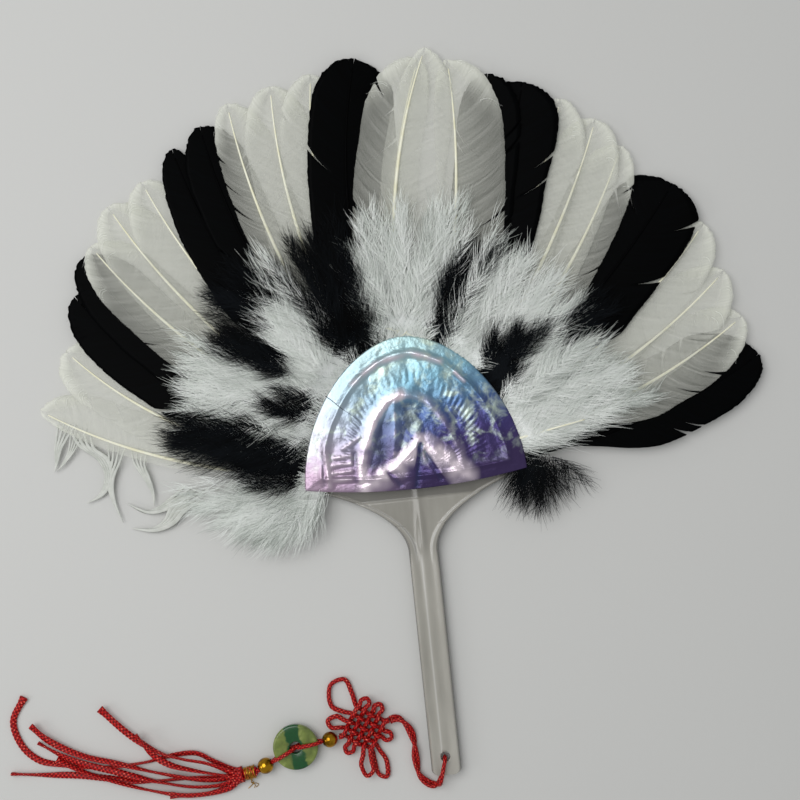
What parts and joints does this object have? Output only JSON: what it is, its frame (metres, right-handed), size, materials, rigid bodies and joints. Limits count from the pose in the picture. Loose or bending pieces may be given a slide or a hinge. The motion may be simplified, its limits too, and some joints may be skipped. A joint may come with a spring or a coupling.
{
  "type": "feather hand fan",
  "caption": "Rigid hand fan of black and white feathers and down on an iridescent half-moon head, with a frosted handle and a red knotted cord pendant of beads, jade disc and tassel.",
  "frame": {"origin": "middle of the half-moon head's lower edge, on the plane that the back cover rests on", "axes": "+Y from the handle to the top of the fan, +Z out of the fan's face, +X to the right of someone who looks at the face"},
  "size_m": [0.3531, 0.3314, 0.0179],
  "materials": {
    "frosted_plastic": "translucent frosted plastic with polished ridges",
    "foil": "embossed iridescent film, blue to violet, wrinkled",
    "card": "plain coated card",
    "glue": "set clear-amber glue",
    "white_feather": "white flight feather, thin and slightly see-through, cream shaft",
    "black_feather": "dyed black flight feather with a faint blue sheen",
    "white_down": "long soft white marabou down",
    "black_down": "long soft dyed black marabou down",
    "red_cord": "braided satin cord",
    "gold": "polished gold-coloured metal",
    "jade": "polished, clouded, with a darker green band",
    "gold_thread": "wound metallic thread"
  },
  "bodies": {
    "fan": {"back_cover": "card", "handle": "frosted_plastic", "glue_bed": "glue", "front_cover": "foil", "flight_01_white": "white_feather", "flight_02_white": "white_feather", "flight_03_black": "black_feather", "flight_04_black": "black_feather", "flight_05_white": "white_feather", "flight_06_white": "white_feather", "flight_07_white": "white_feather", "flight_08_black": "black_feather", "flight_09_black": "black_feather", "flight_10_white": "white_feather", "flight_11_white": "white_feather", "flight_12_white": "white_feather", "flight_13_black": "black_feather", "flight_14_white": "white_feather", "flight_15_white": "white_feather", "flight_16_white": "white_feather", "flight_17_black": "black_feather", "flight_18_white": "white_feather", "flight_19_white": "white_feather", "flight_20_white": "white_feather", "flight_21_black": "black_feather", "flight_22_white": "white_feather", "flight_23_white": "white_feather", "flight_24_white": "white_feather", "flight_25_black": "black_feather", "down_01_white": "white_down", "down_02_black": "black_down", "down_03_white": "white_down", "down_04_black": "black_down", "down_05_white": "white_down", "down_06_black": "black_down", "down_07_white": "white_down", "down_08_black": "black_down", "down_09_white": "white_down", "down_10_black": "black_down", "down_11_white": "white_down", "down_12_black": "black_down"},
    "hanger": {"hang_loop": "red_cord", "knot_strand_a": "red_cord", "knot_strand_b": "red_cord"},
    "disc_section": {"disc_cord": "red_cord"},
    "upper_bead": {"upper_bead": "gold"},
    "disc": {"jade_disc": "jade"},
    "lower_bead": {"lower_bead": "gold"},
    "tassel": {"tassel_wrap": "gold_thread", "strand_01": "red_cord", "strand_02": "red_cord", "strand_03": "red_cord", "strand_04": "red_cord", "strand_05": "red_cord", "strand_06": "red_cord", "strand_07": "red_cord", "strand_08": "red_cord"}
  },
  "joints": [
    {"name": "pendant_swing", "type": "hinge", "parent": "fan", "child": "hanger", "pos_m": [0, -0.1245, 0.0043], "axis": [0, 0, 1], "range_deg": [0, 150]},
    {"name": "disc_swing", "type": "hinge", "parent": "hanger", "child": "disc_section", "pos_m": [-0.04691, -0.11164, 0.00375], "axis": [0, 0, 1], "range_deg": [-8, 30]},
    {"name": "upper_bead_spin", "type": "hinge", "parent": "disc_section", "child": "upper_bead", "pos_m": [-0.05059, -0.11203, 0.00375], "axis": [0.9943, 0.1067, 0], "continuous": true},
    {"name": "disc_turn", "type": "hinge", "parent": "disc_section", "child": "disc", "pos_m": [-0.0661, -0.1137, 0.00375], "axis": [0, 0, 1], "continuous": true},
    {"name": "lower_bead_spin", "type": "hinge", "parent": "disc_section", "child": "lower_bead", "pos_m": [-0.08038, -0.12069, 0.00375], "axis": [-0.8983, -0.4393, 0], "continuous": true},
    {"name": "tassel_swing", "type": "hinge", "parent": "disc_section", "child": "tassel", "pos_m": [-0.0843, -0.1226, 0.00375], "axis": [0, 0, 1], "range_deg": [-15, 25]}
  ]
}
